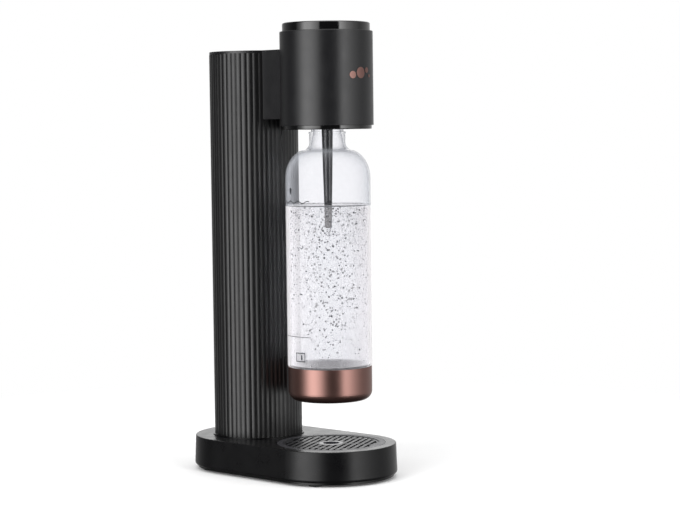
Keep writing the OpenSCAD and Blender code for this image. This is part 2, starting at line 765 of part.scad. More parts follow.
module manifold() color("#55575a") difference() {
    union() {
        at_head() translate([0, 0, manifold_low]) cylinder(r = manifold_r, h = manifold_high - manifold_low);
        at_head() translate([0, 0, manifold_low]) cylinder(r = 22, h = manifold_t);
        translate([0, hose_to - 2, hose_z]) rotate([90, 0, 0]) cylinder(r = 5, h = 10);
        for (a = mount_angles)
            at_head() rotate([0, 0, a]) translate([15, -boss_r, manifold_low])
                cube([bracket_end_r - 15, 2 * boss_r, manifold_t]);
    }
    at_head() translate([0, 0, manifold_low - 1]) cylinder(r = nozzle_bore + slide_clear, h = 24);
    translate([0, head_y, hose_z]) rotate([-90, 0, 0]) cylinder(r = port_r, h = far);
    translate([-relief_x, head_y, relief_foot - 2]) rotate([0, 90, 0]) drill(thread_bore, 2 * relief_x);
    for (side = [-1, 1])
        at_head() translate([side * relief_x, 0, relief_foot - 5]) cylinder(r = relief_bore + 0.02, h = far);
    for (a = mount_angles)
        at_head() spin(a, mount_r, manifold_low - 1) drill(clear_bore, 12);
}

module manifold_screws() color("#9a9ca0")
    for (a = mount_angles)
        at_head() spin(a, mount_r, shelf_high + bracket_t) screw_down(14);

// The neck's thread turns in these grooves.
module bottle_socket() color("#2b2c2e") at_head() difference() {
    union() {
        translate([0, 0, ring_low + 0.5]) cylinder(r = 22, h = manifold_low - ring_low - 0.5);
        for (a = mount_angles)
            rotate([0, 0, a]) translate([20, -boss_r, ring_floor])
                cube([bracket_end_r - 20, 2 * boss_r, manifold_low - ring_floor]);
    }
    translate([0, 0, ring_low]) cylinder(r = seal_r + 0.15, h = 40);
    for (z = thread_z)
        translate([0, 0, z - 0.2]) cylinder(r = neck_r, h = 2);
    for (a = mount_angles)
        spin(a, mount_r, neck_top - 6) drill(thread_bore, 20);
}

module bottle_seal() color("#7d7f82")
    at_head() translate([0, 0, neck_top + 0.1]) tube(seal_r, nozzle_flange_r + 0.3, seal_t - 0.1);

// A tapered tube with a round tip. Its shank and collar are held in the manifold.
module nozzle() color("#161617") at_head() difference() {
    rotate_extrude() polygon(concat([[0, tip_low]],
        [for (a = [-90:22.5:0]) [1.3 + tip_round * cos(a), tip_low + tip_round * (1 + sin(a))]],
        [[3.7, 259], [4.5, 290], [5.3, 328], [5.3, 341], [nozzle_flange_r, 343],
         [nozzle_flange_r, manifold_low], [nozzle_bore, manifold_low], [nozzle_bore, 364], [0, 364]]));
    translate([0, 0, tip_low - 1]) drill(0.7, 12);
    translate([0, 0, tip_low + 9]) drill(thread_r, 130);
}

relief_chamber = 381;

module relief_body() color("#b5893a") at_head() translate([relief_x, 0, 0]) difference() {
    union() {
        translate([0, 0, relief_foot]) cylinder(r = relief_bore, h = manifold_high - relief_foot);
        translate([0, 0, manifold_high]) cylinder(r = hex_r, h = 12, $fn = 6);
    }
    translate([0, 0, relief_foot - 1]) drill(1, 20);
    translate([0, 0, relief_chamber]) cylinder(r = 2.9, h = 20);
}

module relief_poppet() color("#2f2f31") at_head() translate([relief_x, 0, relief_chamber + 0.05]) {
    cylinder(r = 2.6, h = 1.6);
    translate([0, 0, 1.5]) drill(1, 4.5);
}

module relief_spring() color("#b9bbbf")
    at_head() translate([relief_x, 0, 0]) coil(1.9, 0.35, relief_chamber + 1.65, manifold_high + 12, 5);

module relief_cap() color("#b5893a") at_head() translate([relief_x, 0, manifold_high + 12])
    tube(4.6, 1.3, 1.6);

module burst_plug() color("#b5893a") at_head() translate([-relief_x, 0, 0]) difference() {
    union() {
        translate([0, 0, relief_foot]) cylinder(r = relief_bore, h = manifold_high - relief_foot);
        translate([0, 0, manifold_high]) cylinder(r = hex_r, h = 5, $fn = 6);
    }
    translate([0, 0, relief_foot + 3]) drill(1.4, 20);
}

// ---------------------------------------------------------------- bottle

foot_z = bottle_low + 4.5;       // lowest point of the clear bottle, inside the cup
heel_r = 38.7;                   // the clear wall steps out over the cup from this radius
crown_r = 18;                    // centre of the shoulder's curve
fillet_r = 6.5;
bead_h = 2;

// The clear wall's outline, drawn inwards by t: foot, step over the cup, shoulder and neck fillet.
function bottle_outline(t) = concat(
    [[0, foot_z + t]],
    [for (a = [-90:10:-10]) [heel_r - 14 + (14 - t) * cos(a), foot_z + 14 + (14 - t) * sin(a)]],
    [[heel_r - t, cup_top + 0.1 + t / 2], [bottle_r - 0.5 - t, cup_top + 0.2 + t / 2],
     [bottle_r - t, cup_top + 2 + t / 2]],
    [for (a = [0:8:72]) [crown_r + (bottle_r - crown_r - t) * cos(a), shoulder_z + (27.6 - t) * sin(a)]],
    [for (a = [256:-15.2:180])
        [neck_r + fillet_r + (fillet_r + t) * cos(a), 318.2 + (fillet_r + t) * sin(a)]],
    [[neck_r - t, bead_z + 1], [0, bead_z + 1]]);

module bottle_vessel() color([0.85, 0.88, 0.92, 0.35]) at_head() difference() {
    union() {
        rotate_extrude() polygon(bottle_outline(0));
        translate([0, 0, bead_z]) cylinder(r = neck_r + 0.6, h = bead_h);
        translate([0, 0, bead_z + 1]) cylinder(r = finish_r, h = neck_top - bead_z - 1);
        for (z = thread_z)
            translate([0, 0, z]) cylinder(r = finish_r + 0.6, h = 1.4);
    }
    rotate_extrude() polygon(bottle_outline(bottle_wall));
    translate([0, 0, bead_z - 4]) cylinder(r = mouth_r, h = 60);
}

module cup_outline(r, low, round_r) polygon(concat([[0, low]],
    [for (a = [-90:10:0]) [r - round_r + round_r * cos(a), low + round_r + round_r * sin(a)]],
    [[r, cup_top], [0, cup_top]]));

module bottle_cup() color("#a8705f") at_head() difference() {
    rotate_extrude() cup_outline(39.8, bottle_low, 9);
    translate([0, 0, 0.01]) rotate_extrude() cup_outline(38.9, bottle_low + 1, 8.1);
}

// ---------------------------------------------------------------- drip tray

module drip_tray() color("#1a1a1c") at_head() difference() {
    union() {
        translate([0, 0, tray_low]) cylinder(r = tray_wall_r, h = base_top - tray_low);
        translate([0, 0, base_top - rim_t]) cylinder(r = tray_r, h = rim_t);
    }
    translate([0, 0, tray_low + 2]) cylinder(r = 43.5, h = 30);
    translate([0, 0, grille_low - 0.1]) cylinder(r = grille_r + gap, h = 5);
}

bar_circle = grille_r - 1;       // the bars end inside the outer ring

// A chord-shaped bar of the grille, at an offset from its centre.
module bar(offset, width) {
    half = sqrt(pow(bar_circle, 2) - pow(abs(offset) + width / 2, 2));
    translate([-half, offset - width / 2]) square([2 * half, width]);
}

module drip_grille() color("#2a2a2d") at_head() translate([0, 0, grille_low])
    linear_extrude(height = grille_t) {
        difference() {
            circle(grille_r);
            circle(grille_r - 2.2);
        }
        difference() {
            circle(ring_r);
            circle(hole_r);
        }
        rotate(bar_angle) difference() {
            union() {
                for (i = [-7:7])
                    bar(i * bar_pitch, bar_w);
                for (across = [-30, 0, 30])
                    rotate(90) bar(across, 2);
            }
            circle(ring_r - 1);
        }
    }

// ---------------------------------------------------------------- one if line per node

base_housing();
base_plate();
base_screws();
rubber_feet();
chassis();
chassis_screws();
column_front_shell();
shell_screws();
rear_cover();
top_cap();
top_cap_screws();
arm_housing();
arm_screws();
head_bracket();
bracket_screws();
head_shell();
head_lower_ring();
head_badge();
head_deck();
head_deck_screws();
button_cap();
button_stem();
button_spring();
stem_stud();
actuating_lever();
lever_pin();
valve_block();
valve_block_screws();
plunger();
plunger_seal();
cylinder_washer();
co2_cylinder();
cylinder_valve();
cylinder_sleeve();
valve_pin();
cylinder_cradles();
cylinder_pad();
gas_hose();
hose_fittings();
hose_clamps();
manifold();
manifold_screws();
bottle_socket();
bottle_seal();
nozzle();
relief_body();
relief_poppet();
relief_spring();
relief_cap();
burst_plug();
bottle_vessel();
bottle_cup();
drip_tray();
drip_grille();
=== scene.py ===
"""Finishes, water and studio for a soda carbonator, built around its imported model.

Metres, +Z up, the front faces -Y. The head and its bottle stand on the axis at HEAD_Y, and the
column and the gas cylinder inside it on the axis at COLUMN_Y.
"""

import math
import random

import bmesh
import bpy
from mathutils import Matrix, Vector


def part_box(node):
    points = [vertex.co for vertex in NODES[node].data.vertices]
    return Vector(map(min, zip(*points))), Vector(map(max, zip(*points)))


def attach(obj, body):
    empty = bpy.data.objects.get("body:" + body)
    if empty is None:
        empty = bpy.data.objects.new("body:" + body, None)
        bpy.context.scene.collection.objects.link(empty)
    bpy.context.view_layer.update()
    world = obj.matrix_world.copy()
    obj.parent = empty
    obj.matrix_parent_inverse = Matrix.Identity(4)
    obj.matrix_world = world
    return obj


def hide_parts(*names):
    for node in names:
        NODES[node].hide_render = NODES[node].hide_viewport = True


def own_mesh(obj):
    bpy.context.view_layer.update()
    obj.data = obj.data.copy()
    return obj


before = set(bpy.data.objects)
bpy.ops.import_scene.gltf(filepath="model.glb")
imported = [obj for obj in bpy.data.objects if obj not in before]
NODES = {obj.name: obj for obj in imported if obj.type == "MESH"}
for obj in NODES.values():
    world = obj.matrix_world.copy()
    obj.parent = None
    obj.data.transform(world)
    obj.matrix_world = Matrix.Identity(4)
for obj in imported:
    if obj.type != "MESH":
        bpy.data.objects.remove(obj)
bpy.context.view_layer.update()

bl_info = {
    "name": "Soda carbonator",
    "version": (1, 0, 0),
    "blender": (4, 5, 0),
    "location": "View3D > Sidebar > Carbonator",
    "description": "Finishes, water, bottle and studio of a soda carbonator",
    "category": "Object",
}

MM = 0.001
GROUP = "carbonator"

# The camera's place and its axes, in the frame of the model.
CAMERA_AT = Vector((-1.361703, -1.360299, 0.328224))
CAMERA_RIGHT = Vector((0.68885136, -0.7247974, -0.01235066))
CAMERA_UP = Vector((0.0530626, 0.03342437, 0.99803165))
CAMERA_FORWARD = Vector((0.72295793, 0.68815081, -0.06148405))
LENS_MM, SENSOR_MM = 105.74, 36.0

# Share of the side lights' brightness by bearing, in degrees to the right of the viewer's side.
LIGHT_ROUND = (
    (-180, 0.38), (-160, 0.1), (-125, 0.05), (-98, 0.02), (-84, 0.02), (-70, 0.28), (-57, 1.0),
    (-42, 0.95), (-24, 0.5), (-18, 0.36), (-16, 0.012), (33, 0.012), (36, 1.0), (57, 0.45),
    (77, 0.22), (97, 0.1), (125, 0.12), (160, 0.14), (180, 0.38),
)
TABLE_GLOW = 0.05   # light that the table gives off by itself, to soften the shadows on it
TABLE_HALF = 6.0


def middle(node):
    """Centre of a node's box."""
    low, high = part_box(node)
    return (low + high) / 2


HEAD_Y = middle("button_cap").y
COLUMN_Y = middle("co2_cylinder").y
NECK_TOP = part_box("bottle_vessel")[1].z
CUP_LOW, CUP_TOP = (corner.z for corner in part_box("bottle_cup"))
BOTTLE_R = (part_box("bottle_vessel")[1].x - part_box("bottle_vessel")[0].x) / 2

# The clear bottle, from its foot inside the cup up to its neck.
WALL = 1.6 * MM
FOOT_Z = CUP_LOW + 4.5 * MM
HEEL_R, HEEL_ROUND = 38.7 * MM, 14 * MM
STEP_ROUND = 1.7 * MM
SHOULDER_Z, SHOULDER_H, CROWN_R = 284.9 * MM, 27.6 * MM, 18 * MM
NECK_R = 17.1 * MM
FILLET_Z, FILLET_R = 318.2 * MM, 6.5 * MM
BEAD_Z, BEAD_OUT = 326.6 * MM, 0.6 * MM
MOUTH_R, FINISH_R = 13.4 * MM, 15.4 * MM
THREAD_Z = (333.6 * MM, 337.0 * MM, 340.4 * MM)
THREAD_OUT, THREAD_HALF = 0.6 * MM, 0.7 * MM
LIP_ROUND = 0.4 * MM
WATER_GAP = 0.3 * MM             # between the wall and the water that is drawn in it
PRINT_R = BOTTLE_R + 0.05 * MM   # the ink stands a little proud of the wall

# The springs' wires, and how far the button and the relief valve press them together.
BUTTON_WIRE, BUTTON_STROKE = 0.6 * MM, 6 * MM
RELIEF_WIRE, RELIEF_STROKE = 0.35 * MM, 1 * MM
SPRING_TURNS, SPRING_STEPS = 5, 24


def linear(code):
    """A display colour such as "1e1e20" as linear red, green, blue and alpha."""
    parts = [int(code[i : i + 2], 16) / 255 for i in (0, 2, 4)]
    return [c / 12.92 if c <= 0.04045 else ((c + 0.055) / 1.055) ** 2.4 for c in parts] + [1.0]


# ---------------------------------------------------------------- settings


def colour(name, description, code):
    """A colour setting."""
    return bpy.props.FloatVectorProperty(
        name=name, description=description, default=linear(code)[:3], subtype="COLOR", min=0, max=1
    )


class FinishSettings(bpy.types.PropertyGroup):
    """Colours of the visible finishes."""

    housing: colour("Housing", "Fine matte moulding of the head, the arm and the base", "111113")
    reeds: colour("Reeds", "Satin moulding of the column", "0b0b0c")
    polished: colour("Polished", "Polished button and the ring under the head", "050506")
    grille: colour("Grille", "Drip tray and its grille", "222225")
    copper: colour("Copper", "Bottle cup and the inlay on the head", "8c6b64")
    film: colour("Film", "Sleeve of the gas cylinder", "26272b")
    film_line: colour("Film lines", "Wavy lines on the sleeve", "9a9ba1")


class WaterSettings(bpy.types.PropertyGroup):
    """Water and gas bubbles in the bottle."""

    level: bpy.props.FloatProperty(
        name="Level", description="Height of the water above the table", default=0.259,
        min=0.2, max=0.28, unit="LENGTH",
    )
    bubbles: bpy.props.IntProperty(
        name="Bubbles", description="How many gas bubbles rise in the water", default=2800,
        min=0, max=5000,
    )
    smallest: bpy.props.FloatProperty(
        name="Smallest", description="Radius of the smallest bubble", default=0.00024,
        min=0.0001, max=0.001, unit="LENGTH",
    )
    largest: bpy.props.FloatProperty(
        name="Largest", description="Radius of the largest bubble", default=0.00115,
        min=0.0003, max=0.003, unit="LENGTH",
    )
    seed: bpy.props.IntProperty(
        name="Seed", description="Changes where the bubbles are", default=7, min=0
    )


class StudioSettings(bpy.types.PropertyGroup):
    """Soft light round the object."""

    sides: bpy.props.FloatProperty(
        name="Side lights", description="Brightness of the tall soft lights", default=4.4, min=0
    )
    top: bpy.props.FloatProperty(
        name="Top light", description="Brightness of the light overhead", default=2.0, min=0
    )


# ---------------------------------------------------------------- finishes


class Value:
    """A node's output. Arithmetic on it adds Math nodes."""

    def __init__(self, finish, output):
        self.finish, self.output = finish, output

    def _math(self, operation, first, second):
        return self.finish.node(
            "ShaderNodeMath", {"operation": operation}, {0: first, 1: second}
        )

    def __add__(self, other):
        return self._math("ADD", self, other)

    def __sub__(self, other):
        return self._math("SUBTRACT", self, other)

    def __rsub__(self, other):
        return self._math("SUBTRACT", other, self)

    def __mul__(self, other):
        return self._math("MULTIPLY", self, other)

    def __pow__(self, other):
        return self._math("POWER", self, other)

    __radd__ = __add__
    __rmul__ = __mul__


class Finish:
    """A material, or the world, whose nodes are added one by one."""

    def __init__(self, name, world=False):
        make = bpy.data.worlds if world else bpy.data.materials
        self.data = make.new(name)
        self.data.use_nodes = True
        self.tree = self.data.node_tree
        self.tree.nodes.clear()
        self.world = world

    def node(self, kind, settings=None, sockets=None, output=0):
        """Adds a node with its settings and its sockets' values or links."""
        made = self.tree.nodes.new(kind)
        for key, value in (settings or {}).items():
            if key == "stops":
                ramp = made.color_ramp
                while len(ramp.elements) < len(value):
                    ramp.elements.new(0.5)
                for element, (at, tint) in zip(ramp.elements, value):
                    element.position, element.color = at, tint
            else:
                setattr(made, key, value)
        for key, value in (sockets or {}).items():
            if isinstance(value, Value):
                self.tree.links.new(value.output, made.inputs[key])
            else:
                made.inputs[key].default_value = value
        return Value(self, made.outputs[output]) if len(made.outputs) else None

    def place(self, stretch=(1, 1, 1), shift=(0, 0, 0)):
        """Object coordinates, shifted and stretched."""
        at = self.node("ShaderNodeTexCoord", output=3)
        return self.node(
            "ShaderNodeMapping",
            sockets={"Vector": at, "Location": shift, "Scale": stretch},
        )

    def noise(self, size, detail=2.0, stretch=(1, 1, 1)):
        """Noise from 0 to 1 whose features are about size metres across."""
        return self.node(
            "ShaderNodeTexNoise",
            sockets={"Vector": self.place(stretch), "Scale": 1 / size, "Detail": detail},
        )

    def span(self, value, low, high, to_low=0.0, to_high=1.0):
        """value's range from low to high as to_low to to_high, clamped."""
        return self.node(
            "ShaderNodeMapRange",
            sockets={"Value": value, 1: low, 2: high, 3: to_low, 4: to_high},
        )

    def blend(self, share, first, second):
        """One colour turning into another."""
        return self.node(
            "ShaderNodeMix", {"data_type": "RGBA"}, {0: share, 6: first, 7: second}, output=2
        )

    def bump(self, height, depth, over=None):
        """A height map as a normal. Another bump can lie under it."""
        sockets = {"Height": height, "Distance": depth}
        if over is not None:
            sockets["Normal"] = over
        return self.node("ShaderNodeBump", sockets=sockets)

    def surface(self, sockets):
        """The Principled shader."""
        return self.node("ShaderNodeBsdfPrincipled", sockets=sockets)

    def done(self, shader):
        """Ends the finish with its output and returns it."""
        kind = "ShaderNodeOutputWorld" if self.world else "ShaderNodeOutputMaterial"
        self.node(kind, sockets={"Surface": shader})
        return self.data


def grey(level):
    """A linear grey."""
    return (level, level, level, 1.0)


def shade(rgb, factor):
    """A colour made lighter or darker."""
    return [min(1.0, c * factor) for c in rgb[:3]] + [1.0]


def moulded(name, rgb, rough, grain=0.0005, depth=0.00003, spread=0.05, variety=0.12, shine=0.5):
    """Moulded plastic: fine surface grain, faint flow marks and handling marks."""
    f = Finish(name)
    grain_height = f.noise(grain, 3.0)
    flow = f.noise(0.035, 2.0)
    speck = f.noise(grain * 3, 1.0)
    handled = f.noise(0.012, 4.0)
    tone = f.blend(flow * 0.6 + speck * 0.4, shade(rgb, 1 - variety), shade(rgb, 1 + variety))
    roughness = f.span(handled * 0.7 + grain_height * 0.3, 0.3, 0.7, rough - spread, rough + spread)
    return f.done(f.surface({
        "Base Color": tone, "Roughness": roughness, "IOR": 1.5, "Specular IOR Level": shine,
        "Normal": f.bump(grain_height, depth),
    }))


def ringed(name, rgb, rough, ring_r):
    """Satin plastic that is smoother and paler within a ring round the bottle's axis."""
    f = Finish(name)
    at = f.node("ShaderNodeVectorMath", {"operation": "MULTIPLY"},
                {0: f.place(shift=(0, -HEAD_Y, 0)), 1: (1, 1, 0)})
    away = f.node("ShaderNodeVectorMath", {"operation": "LENGTH"}, {0: at}, output=1)
    ring = f.span(away, ring_r, ring_r - 0.5 * MM)
    grain = f.noise(0.0006, 3.0)
    worn = f.noise(0.012, 4.0)
    tone = f.blend(ring, f.blend(worn, shade(rgb, 0.9), shade(rgb, 1.15)), shade(rgb, 3.2))
    return f.done(f.surface({
        "Base Color": tone, "Roughness": f.span(worn, 0.3, 0.7, rough - 0.05, rough + 0.05)
        - ring * 0.16, "IOR": 1.5, "Normal": f.bump(grain, 0.00003),
    }))


def polished(name, rgb, rough=0.07):
    """Polished plastic: hairline scratches, faint smudges and a little waviness."""
    f = Finish(name)
    waves = f.noise(0.02, 1.0)
    smudge = f.noise(0.009, 4.0)
    hair = f.noise(0.0006, 2.0, stretch=(1, 0.06, 0.5))
    tone = f.blend(smudge, shade(rgb, 0.8), shade(rgb, 1.3))
    roughness = f.span(smudge, 0.35, 0.75, rough, rough + 0.06)
    normal = f.bump(waves, 0.00012, over=f.bump(hair, 0.000002))
    return f.done(f.surface({
        "Base Color": tone, "Roughness": roughness, "IOR": 1.52, "Coat Weight": 0.4,
        "Coat Roughness": 0.03, "Normal": normal,
    }))


def metal(name, rgb, rough, stretch, size=0.0004, spread=0.06, depth=0.00001, variety=0.1):
    """Bare metal with tool marks drawn out along the directions that stretch keeps long."""
    f = Finish(name)
    lines = f.noise(size, 3.0, stretch=stretch)
    cloud = f.noise(0.014, 3.0)
    tone = f.blend(lines * 0.5 + cloud * 0.5, shade(rgb, 1 - variety), shade(rgb, 1 + variety))
    roughness = f.span(lines * 0.6 + cloud * 0.4, 0.3, 0.7, rough - spread, rough + spread)
    return f.done(f.surface({
        "Base Color": tone, "Metallic": 1.0, "Roughness": roughness,
        "Normal": f.bump(lines, depth),
    }))


def rubber(name, rgb, rough=0.75):
    """Rubber: a dusty bloom and a fine pebbled skin."""
    f = Finish(name)
    bloom = f.span(f.noise(0.006, 4.0), 0.45, 0.75)
    skin = f.noise(0.0004, 2.0)
    return f.done(f.surface({
        "Base Color": f.blend(bloom, rgb, shade(rgb, 1.6)),
        "Roughness": f.span(bloom, 0, 1, rough, rough + 0.12), "Normal": f.bump(skin, 0.00004),
    }))


def wavy_film(name, film, line):
    """Shrink film with close wavy lines that climb round the cylinder."""
    f = Finish(name)
    at = f.place(shift=(0, -COLUMN_Y, 0))
    x, y, z = (f.node("ShaderNodeSeparateXYZ", sockets={0: at}, output=i) for i in range(3))
    angle = f.node("ShaderNodeMath", {"operation": "ARCTAN2"}, {0: y, 1: x})
    sway = f.node("ShaderNodeMath", {"operation": "SINE"}, {0: z * (math.tau / 0.0105)})
    across = angle * (66 / math.tau) + sway * 0.32 + z * 95
    wave = f.node("ShaderNodeMath", {"operation": "PINGPONG"}, {0: across, 1: 0.5})
    mask = f.span(wave, 0.12, 0.2, 1.0, 0.0)
    creases = f.noise(0.008, 3.0, stretch=(1, 1, 0.35))
    worn = f.span(f.noise(0.0012, 2.0), 0.3, 0.7, 0.75, 1.0)
    return f.done(f.surface({
        "Base Color": f.blend(mask * worn, film, line),
        "Roughness": f.span(creases, 0.3, 0.7, 0.3, 0.42), "Normal": f.bump(creases, 0.0002),
    }))


def clear_wall(name, level):
    """Clear plastic as a thin wall. It greys where it is seen edge-on, a painted edge shade, less
    below the water, where its edges are painted pale.
    """
    f = Finish(name)
    ripple = f.noise(0.011, 2.0, stretch=(1, 1, 0.6))
    haze = f.noise(0.004, 4.0)
    height = f.node("ShaderNodeSeparateXYZ", sockets={0: f.place()}, output=2)
    wet = f.span(height, level + 0.4 * MM, level - 0.4 * MM)
    edge = f.node("ShaderNodeLayerWeight", sockets={"Blend": 0.5}, output=1)
    neck = f.span(height, SHOULDER_Z + 22 * MM, SHOULDER_Z + 36 * MM)
    share = (edge ** 2.2 * f.span(wet, 0, 1, 0.62, 0.1) + haze * 0.04 + neck * edge ** 3 * 0.5
             + wet * f.span(edge, 0.6, 0.73, 0.0, 0.9))
    # Painted edge shade: seen edge-on the wall's colour turns grey, darker on the neck; below the
    # water it turns pale there instead, a painted light.
    dark = f.blend(neck, linear("85888e"), linear("3b3d41"))
    rim = f.blend(f.span(edge - neck * 0.25, 0.7, 0.97), linear("d4d7dd"), dark)
    body = f.surface({
        "Base Color": f.blend(wet, rim, linear("eeecee")),
        "Roughness": f.span(haze, 0.3, 0.7, 0.05, 0.1), "IOR": 1.45,
        "Normal": f.bump(ripple, 0.00012),
    })
    clear = f.node("ShaderNodeBsdfTransparent", sockets={"Color": linear("fdfdfe")})
    return f.done(f.node("ShaderNodeMixShader", sockets={0: share, 1: clear, 2: body}))


def water_body(name, tint, foot, middle_share, side_share):
    """Water full of fine gas: clearest where it is seen head-on, milky at its sides and foot. The
    white at its sides is partly painted light, for the bright room seen bent through the water; the
    grey band at its foot is painted shade.
    """
    f = Finish(name)
    swirl = f.noise(0.016, 3.0, stretch=(1, 1, 0.5))
    specks = f.noise(0.0014, 3.0)
    height = f.node("ShaderNodeSeparateXYZ", sockets={0: f.place()}, output=2)
    # Painted shade: a grey band at the foot of the water, where it stands in the cup.
    low = f.span(height, foot + 2.6 * MM, foot + 1.4 * MM)
    edge = f.node("ShaderNodeLayerWeight", sockets={"Blend": 0.5}, output=1)
    # Opaque white towards the sides: partly the fine gas, partly painted light for the bright room
    # seen bent through the water.
    milk_and_painted_light = f.span(edge, 0.0, 0.7, middle_share, side_share)
    lift = f.span(height, foot + 40 * MM, foot + 152 * MM, 0.0, 0.09)
    fine = f.blend(f.span(specks + lift, 0.62, 0.7, 0.0, 0.75),
                   f.blend(swirl, shade(tint, 0.96), tint), linear("8a8c8e"))
    body = f.surface({
        "Base Color": f.blend(low, fine, f.blend(specks, linear("68696b"), linear("a2a3a5"))),
        "Roughness": 0.35, "IOR": 1.333, "Normal": f.bump(swirl, 0.0002),
    })
    clear = f.node("ShaderNodeBsdfTransparent", sockets={"Color": linear("fbfcfd")})
    return f.done(f.node("ShaderNodeMixShader",
                         sockets={0: milk_and_painted_light * (1 - low) + low * 0.9, 1: clear, 2: body}))


def gas(name, dark, light):
    """Gas bubbles: dark, with a paler middle. The dark rim is painted shade and the paler middle
    painted light.
    """
    f = Finish(name)
    rim = f.node("ShaderNodeLayerWeight", sockets={"Blend": 0.4}, output=1)
    tone = f.noise(0.004, 1.0)
    return f.done(f.surface({
        # Painted shade at the rims and painted light in the middle, set by how each surface faces
        # the eye.
        "Base Color": f.blend(f.span(tone, 0.35, 0.65), f.blend(rim, light, dark), dark),
        "Roughness": f.span(tone, 0.3, 0.7, 0.2, 0.35), "IOR": 1.3,
    }))


def milky(name, rgb):
    """Milky nylon tube with faint draw lines."""
    f = Finish(name)
    lines = f.noise(0.0008, 2.0, stretch=(1, 0.05, 1))
    return f.done(f.surface({
        "Base Color": f.blend(lines, shade(rgb, 0.9), shade(rgb, 1.1)),
        "Roughness": f.span(lines, 0.3, 0.7, 0.28, 0.4), "Subsurface Weight": 0.2,
        "Normal": f.bump(lines, 0.00003),
    }))


def table(name):
    """A pale table top that runs out into the white of the room."""
    f = Finish(name)
    cloud = f.noise(0.2, 3.0)
    across = f.node("ShaderNodeVectorMath", {"operation": "LENGTH"}, {0: f.place()}, output=1)
    away = f.span(across, 0.22, 0.7)
    white = linear("ffffff")
    return f.done(f.surface({
        "Base Color": f.blend(away, f.blend(cloud, linear("eeeeee"), linear("f4f4f4")),
                              linear("000000")),
        "Roughness": f.span(cloud, 0.3, 0.7, 0.75, 0.9), "Specular IOR Level": 0.0,
        "Emission Color": f.blend(away, shade(white, TABLE_GLOW), white),
        "Emission Strength": 1.0, "Normal": f.bump(f.noise(0.002, 2.0), 0.00005),
    }))


def dress(finish, *nodes):
    """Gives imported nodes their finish."""
    for name in nodes:
        for slot in NODES[name].material_slots:
            slot.material = finish


# ---------------------------------------------------------------- mesh helpers


def arc(centre_r, centre_z, radius_r, radius_z, start, end, count):
    """Points of an elliptic arc as (radius, height), angles in degrees."""
    angles = [math.radians(start + (end - start) * i / count) for i in range(count + 1)]
    return [(centre_r + radius_r * math.cos(a), centre_z + radius_z * math.sin(a)) for a in angles]


def held(points):
    """Adds a point close to each end of a long stretch, so that its shading stays straight."""
    kept = []
    for (r, z), (next_r, next_z) in zip(points, points[1:]):
        kept.append((r, z))
        length = math.hypot(next_r - r, next_z - z)
        if length > 2.5 * MM:
            for share in (0.15 * MM / length, 1 - 0.15 * MM / length):
                kept.append((r + (next_r - r) * share, z + (next_z - z) * share))
    return kept + [points[-1]]


def lathe(points, steps=128):
    """A closed shape spun about the bottle's axis from (radius, height) points."""
    bm = bmesh.new()
    points = held(points)
    verts = [bm.verts.new((r, HEAD_Y, z)) for r, z in points]
    edges = [bm.edges.new(pair) for pair in zip(verts, verts[1:])]
    bmesh.ops.spin(
        bm, geom=verts + edges, cent=(0, HEAD_Y, 0), axis=(0, 0, 1), angle=math.tau,
        steps=steps, use_merge=True,
    )
    bmesh.ops.remove_doubles(bm, verts=bm.verts, dist=1e-6)
    bmesh.ops.recalc_face_normals(bm, faces=bm.faces)
    return bm


def finished(bm, name, body, material):
    """Turns a bmesh into a piece that rides on a body."""
    mesh = bpy.data.meshes.new(name)
    bm.to_mesh(mesh)
    bm.free()
    mesh.shade_smooth()
    piece = bpy.data.objects.new(name, mesh)
    bpy.context.scene.collection.objects.link(piece)
    mesh.materials.append(material)
    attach(piece, body)
    return piece


# ---------------------------------------------------------------- operators


class CARBONATOR_OT_housings(bpy.types.Operator):
    """Gives the base, the column, the arm and the head their moulded finishes"""

    bl_idname = f"{GROUP}.housings"
    bl_label = "Housings"

    def execute(self, context):
        own = context.scene.carbonator_finish
        dress(moulded("housing_matte", own.housing, 0.33), "top_cap", "arm_housing", "head_shell")
        # The base is the head's plastic with its colour halved: painted shade, as the base is the
        # same plastic as the head.
        dress(moulded("base_matte_painted_shade", shade(own.housing, 0.5), 0.3, shine=0.28), "base_housing",
              "base_plate")
        dress(moulded("column_satin", own.reeds, 0.33, grain=0.0004, depth=0.00001),
              "column_front_shell", "rear_cover")
        dress(polished("polished_black", own.polished), "button_cap", "head_lower_ring")
        dress(moulded("tray_satin", shade(own.grille, 2.2), 0.42, grain=0.0006), "drip_tray")
        dress(ringed("grille_satin", own.grille, 0.42, 11.5 * MM), "drip_grille")
        dress(rubber("foot_rubber", linear("161617")), "rubber_feet", "cylinder_pad",
              "plunger_seal", "cylinder_washer", "relief_poppet")
        return {"FINISHED"}


class CARBONATOR_OT_works(bpy.types.Operator):
    """Gives the chassis, the lever, the valves and the screws their finishes"""

    bl_idname = f"{GROUP}.works"
    bl_label = "Works inside"

    def execute(self, context):
        dress(moulded("inner_moulding", linear("3c3d40"), 0.55, grain=0.0008), "chassis",
              "cylinder_cradles", "head_deck", "bottle_socket", "manifold")
        steel = metal("plain_steel", linear("b6b8bb"), 0.3, (1, 1, 0.08))
        dress(steel, "base_screws", "chassis_screws", "shell_screws", "arm_screws",
              "bracket_screws", "head_bracket", "head_deck_screws", "button_stem",
              "stem_stud", "lever_pin", "valve_block_screws", "plunger", "valve_pin",
              "hose_clamps", "manifold_screws")
        dress(metal("cast_lever", linear("a4a6a9"), 0.42, (1, 1, 1), size=0.0012, depth=0.00004),
              "actuating_lever")
        dress(metal("black_screws", linear("2e2e31"), 0.4, (1, 1, 1)), "top_cap_screws")
        dress(metal("turned_brass", linear("c39a52"), 0.26, (0.05, 0.05, 1)), "valve_block",
              "cylinder_valve", "hose_fittings", "relief_body", "relief_cap", "burst_plug")
        dress(milky("hose_nylon", linear("d6d4c8")), "gas_hose")
        dress(rubber("seal_silicone", linear("8b8d90"), 0.6), "bottle_seal")
        dress(moulded("nozzle_black", linear("101012"), 0.14, grain=0.0012, depth=0.00001),
              "nozzle")
        return {"FINISHED"}


